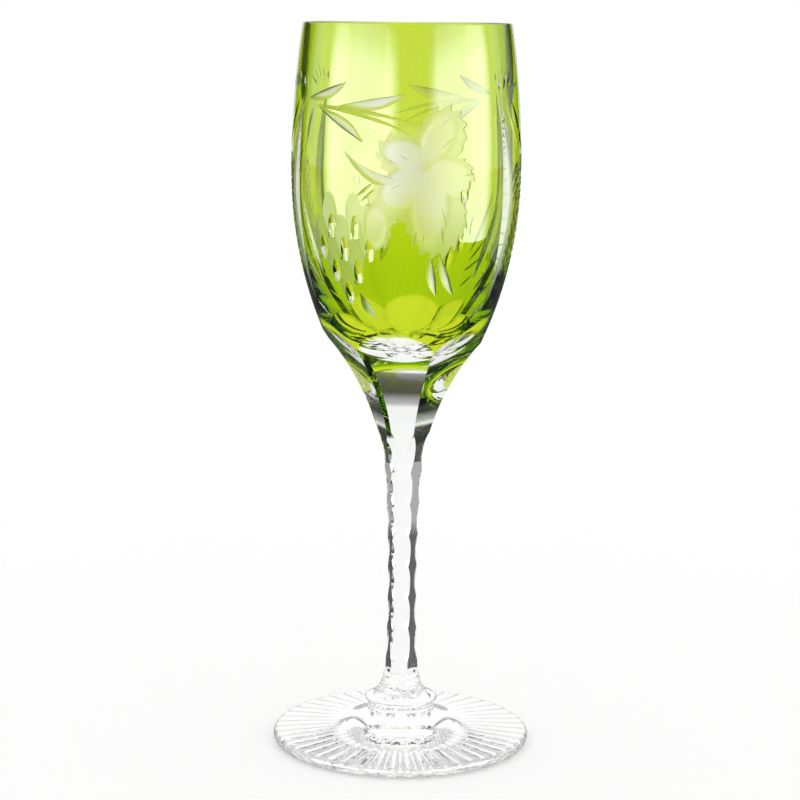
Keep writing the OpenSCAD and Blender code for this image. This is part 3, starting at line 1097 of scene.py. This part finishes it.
foot = revolve("foot_fluted", foot_profile, clear_polished)
foot_sizes = {"Flutes": flute_count, "Start radius": float(flute_start_r), "Rod radius": flute_cutter_r,
              "Flute depth": flute_depth, "Run": foot_r - flute_start_r}
grow(foot, fluted_foot_tree(foot_sizes), foot_sizes)
hide_seams(foot, lambda face: face.center.z > hub_z - touch)
finish_piece(foot, "foot")


# Stage: a pale floor, panels of light round the glass with dark gaps between them, and four soft boxes

floor_size = 3
floor_z = -0.2 * MM
floor_glow = 0.03
# How bright the floor is where the glass mirrors it: a fixed dim glow, painted shade in the reflection
painted_mirrored_floor = 0.1
# Seen through the glass, the floor glows in painted dark patches before and behind the glass, to both sides,
# standing in for dark cards, and grey farther out. Only the glass shows this painted shade.
painted_card_bearing = math.radians(46.5)
painted_card_half = math.radians(7)
painted_card_start = 0.045
painted_card_dark_end = 0.3
painted_card_grey_start = 0.36
painted_card_dark = 0.06
painted_card_grey = 0.4

floor_mesh = bpy.data.meshes.new("floor")
floor_corners = [(x * floor_size, y * floor_size, floor_z) for x, y in ((-1, -1), (1, -1), (1, 1), (-1, 1))]
floor_mesh.from_pydata(floor_corners, [], [[0, 1, 2, 3]])
floor = bpy.data.objects.new("floor", floor_mesh)
bpy.context.scene.collection.objects.link(floor)
# White paper, matt and even to the camera; in the glass it shows painted shade instead
paper, tree = new_material("white_paper_sweep")
matt = add(tree, "ShaderNodeBsdfDiffuse", {"Color": linear("#FCFCFC")})
lit = add(tree, "ShaderNodeAddShader", {0: matt.outputs[0], 1: glow(tree, floor_glow)})
place = add(tree, "ShaderNodeTexCoord").outputs["Object"]
axes = add(tree, "ShaderNodeSeparateXYZ", {0: place})
bearing = maths(tree, "ARCTAN2", *[maths(tree, "ABSOLUTE", axes.outputs[axis]) for axis in "XY"])
away = add(tree, "ShaderNodeVectorMath", {0: place}, operation="LENGTH").outputs["Value"]
painted_card_mask = maths(tree, "MULTIPLY", maths(tree, "COMPARE", bearing, painted_card_bearing, painted_card_half),
             maths(tree, "GREATER_THAN", away, painted_card_start))
shade = graded(tree, away, painted_card_dark_end, painted_card_grey_start, painted_card_dark, painted_card_grey)
path = add(tree, "ShaderNodeLightPath")
# Mirrored by the glass, the floor is a fixed dim glow instead of lit paper: painted shade
mirrored = add(tree, "ShaderNodeMixShader", {
    0: path.outputs["Is Glossy Ray"], 1: lit.outputs[0], 2: glow(tree, painted_mirrored_floor)})
# Through the glass the floor glows white, with the painted shade of the dark card patches
seen = add(tree, "ShaderNodeMixShader", {
    0: path.outputs["Is Transmission Ray"], 1: mirrored.outputs[0],
    2: glow(tree, graded(tree, painted_card_mask, 0.0, 1.0, 1.0, shade))})
add(tree, "ShaderNodeOutputMaterial", {"Surface": seen.outputs[0]})
floor_mesh.materials.append(paper)

# The panels stand on four sides. Over them it is dark up to a light roof, but a ray that the glass mirrors
# finds light all over them. Heights are sines of the elevation.
panel_half = math.radians(22.5)
panel_top = math.sin(math.radians(16))
dark_low = math.sin(math.radians(24))
roof_low = math.sin(math.radians(55))
soft = 0.03
gap_level = 0.04
levels = [(panel_top, 1), (panel_top + soft, 0.5), (dark_low, gap_level), (roof_low - soft, 0.05),
          (roof_low, 1)]

world = bpy.data.worlds.new("studio")
bpy.context.scene.world = world
world.use_nodes = True
sky = world.node_tree
sky.nodes.clear()
axes = add(sky, "ShaderNodeSeparateXYZ", {0: add(sky, "ShaderNodeTexCoord").outputs["Generated"]})
folded = maths(sky, "PINGPONG", maths(sky, "ARCTAN2", axes.outputs["X"], axes.outputs["Y"]), math.pi / 4)
panels = graded(sky, folded, panel_half, panel_half + soft, 1.0, gap_level)
panels = maths(sky, "MAXIMUM", panels, graded(sky, axes.outputs["Z"], panel_top - soft, panel_top))
rise = add(sky, "ShaderNodeValToRGB", {"Fac": axes.outputs["Z"]})
ramp = rise.color_ramp
for height, _ in levels[1:-1]:
    ramp.elements.new(height)
for element, (height, level) in zip(ramp.elements, levels):
    element.position = height
    element.color = (level, level, level, 1)
path = add(sky, "ShaderNodeLightPath")
mirrored = maths(sky, "GREATER_THAN", path.outputs["Glossy Depth"], 0.5)
strips = maths(sky, "MULTIPLY", panels, maths(sky, "MAXIMUM", rise.outputs["Color"], mirrored))
plain = maths(sky, "ADD", path.outputs["Is Camera Ray"], path.outputs["Is Diffuse Ray"], use_clamp=True)
seen = add(sky, "ShaderNodeMix", {"Factor": plain, "A": strips, "B": (1, 1, 1, 1)}, data_type="RGBA")
light = add(sky, "ShaderNodeBackground", {"Color": seen.outputs["Result"], "Strength": 1.0})
add(sky, "ShaderNodeOutputWorld", {"Surface": light.outputs[0]})


def soft_box(name, azimuth, width, strength):
    """A soft box that only reflections show. It faces the bowl and fades to its sides and its top."""
    away = 0.33
    lift = 0.036
    height = 0.3
    side_fade = 0.18
    top_fade = (0.71, 0.93)
    data = bpy.data.lights.new(name, "AREA")
    data.shape = "RECTANGLE"
    data.size = width
    data.size_y = height
    data.energy = math.pi * width * height * strength
    data.use_nodes = True
    tree = data.node_tree
    tree.nodes.clear()
    place = add(tree, "ShaderNodeNewGeometry").outputs["Parametric"]
    axes = add(tree, "ShaderNodeSeparateXYZ", {0: place})
    sides = graded(tree, maths(tree, "PINGPONG", axes.outputs["X"], 0.5), 0.0, side_fade)
    top = graded(tree, axes.outputs["Y"], *top_fade, 1.0, 0.0)
    add(tree, "ShaderNodeOutputLight", {"Surface": glow(tree, maths(tree, "MULTIPLY", sides, top))})
    lamp = bpy.data.objects.new(name, data)
    turn = math.radians(azimuth)
    lamp.location = (away * math.sin(turn), -away * math.cos(turn), lift + height / 2)
    lamp.rotation_euler = (math.pi / 2, 0, turn)
    lamp.visible_camera = False
    lamp.visible_diffuse = False
    lamp.visible_transmission = False
    bpy.context.scene.collection.objects.link(lamp)


# Azimuth in degrees from the front, width and strength
soft_box("left_soft_box", -47, 0.55, 9)
soft_box("left_side_box", -96, 0.3, 0.8)
soft_box("right_soft_box", 56, 0.48, 9)
soft_box("right_side_box", 112, 0.3, 0.8)

# Light crosses many faces of clear glass before it gets out
settings = bpy.context.scene.cycles
settings.max_bounces = 32
settings.glossy_bounces = 8
settings.transmission_bounces = 32
settings.transparent_max_bounces = 48


# Camera at the height of the rim, looking a little down, turned as the photograph is

camera_z = 205
camera_y = -607
camera_x = -1.1
camera_pitch = 9.877
camera_roll = 0.58
lens = 97.74

camera = bpy.data.objects.new("camera", bpy.data.cameras.new("camera"))
camera.data.lens = lens
camera.data.clip_start = 0.01
camera.location = (camera_x * MM, camera_y * MM, camera_z * MM)
pitch = Matrix.Rotation(math.radians(90 - camera_pitch), 4, "X")
roll = Matrix.Rotation(math.radians(camera_roll), 4, "Z")
camera.rotation_euler = (pitch @ roll).to_euler()
bpy.context.scene.collection.objects.link(camera)
bpy.context.scene.camera = camera
bpy.context.scene.view_settings.view_transform = "Standard"
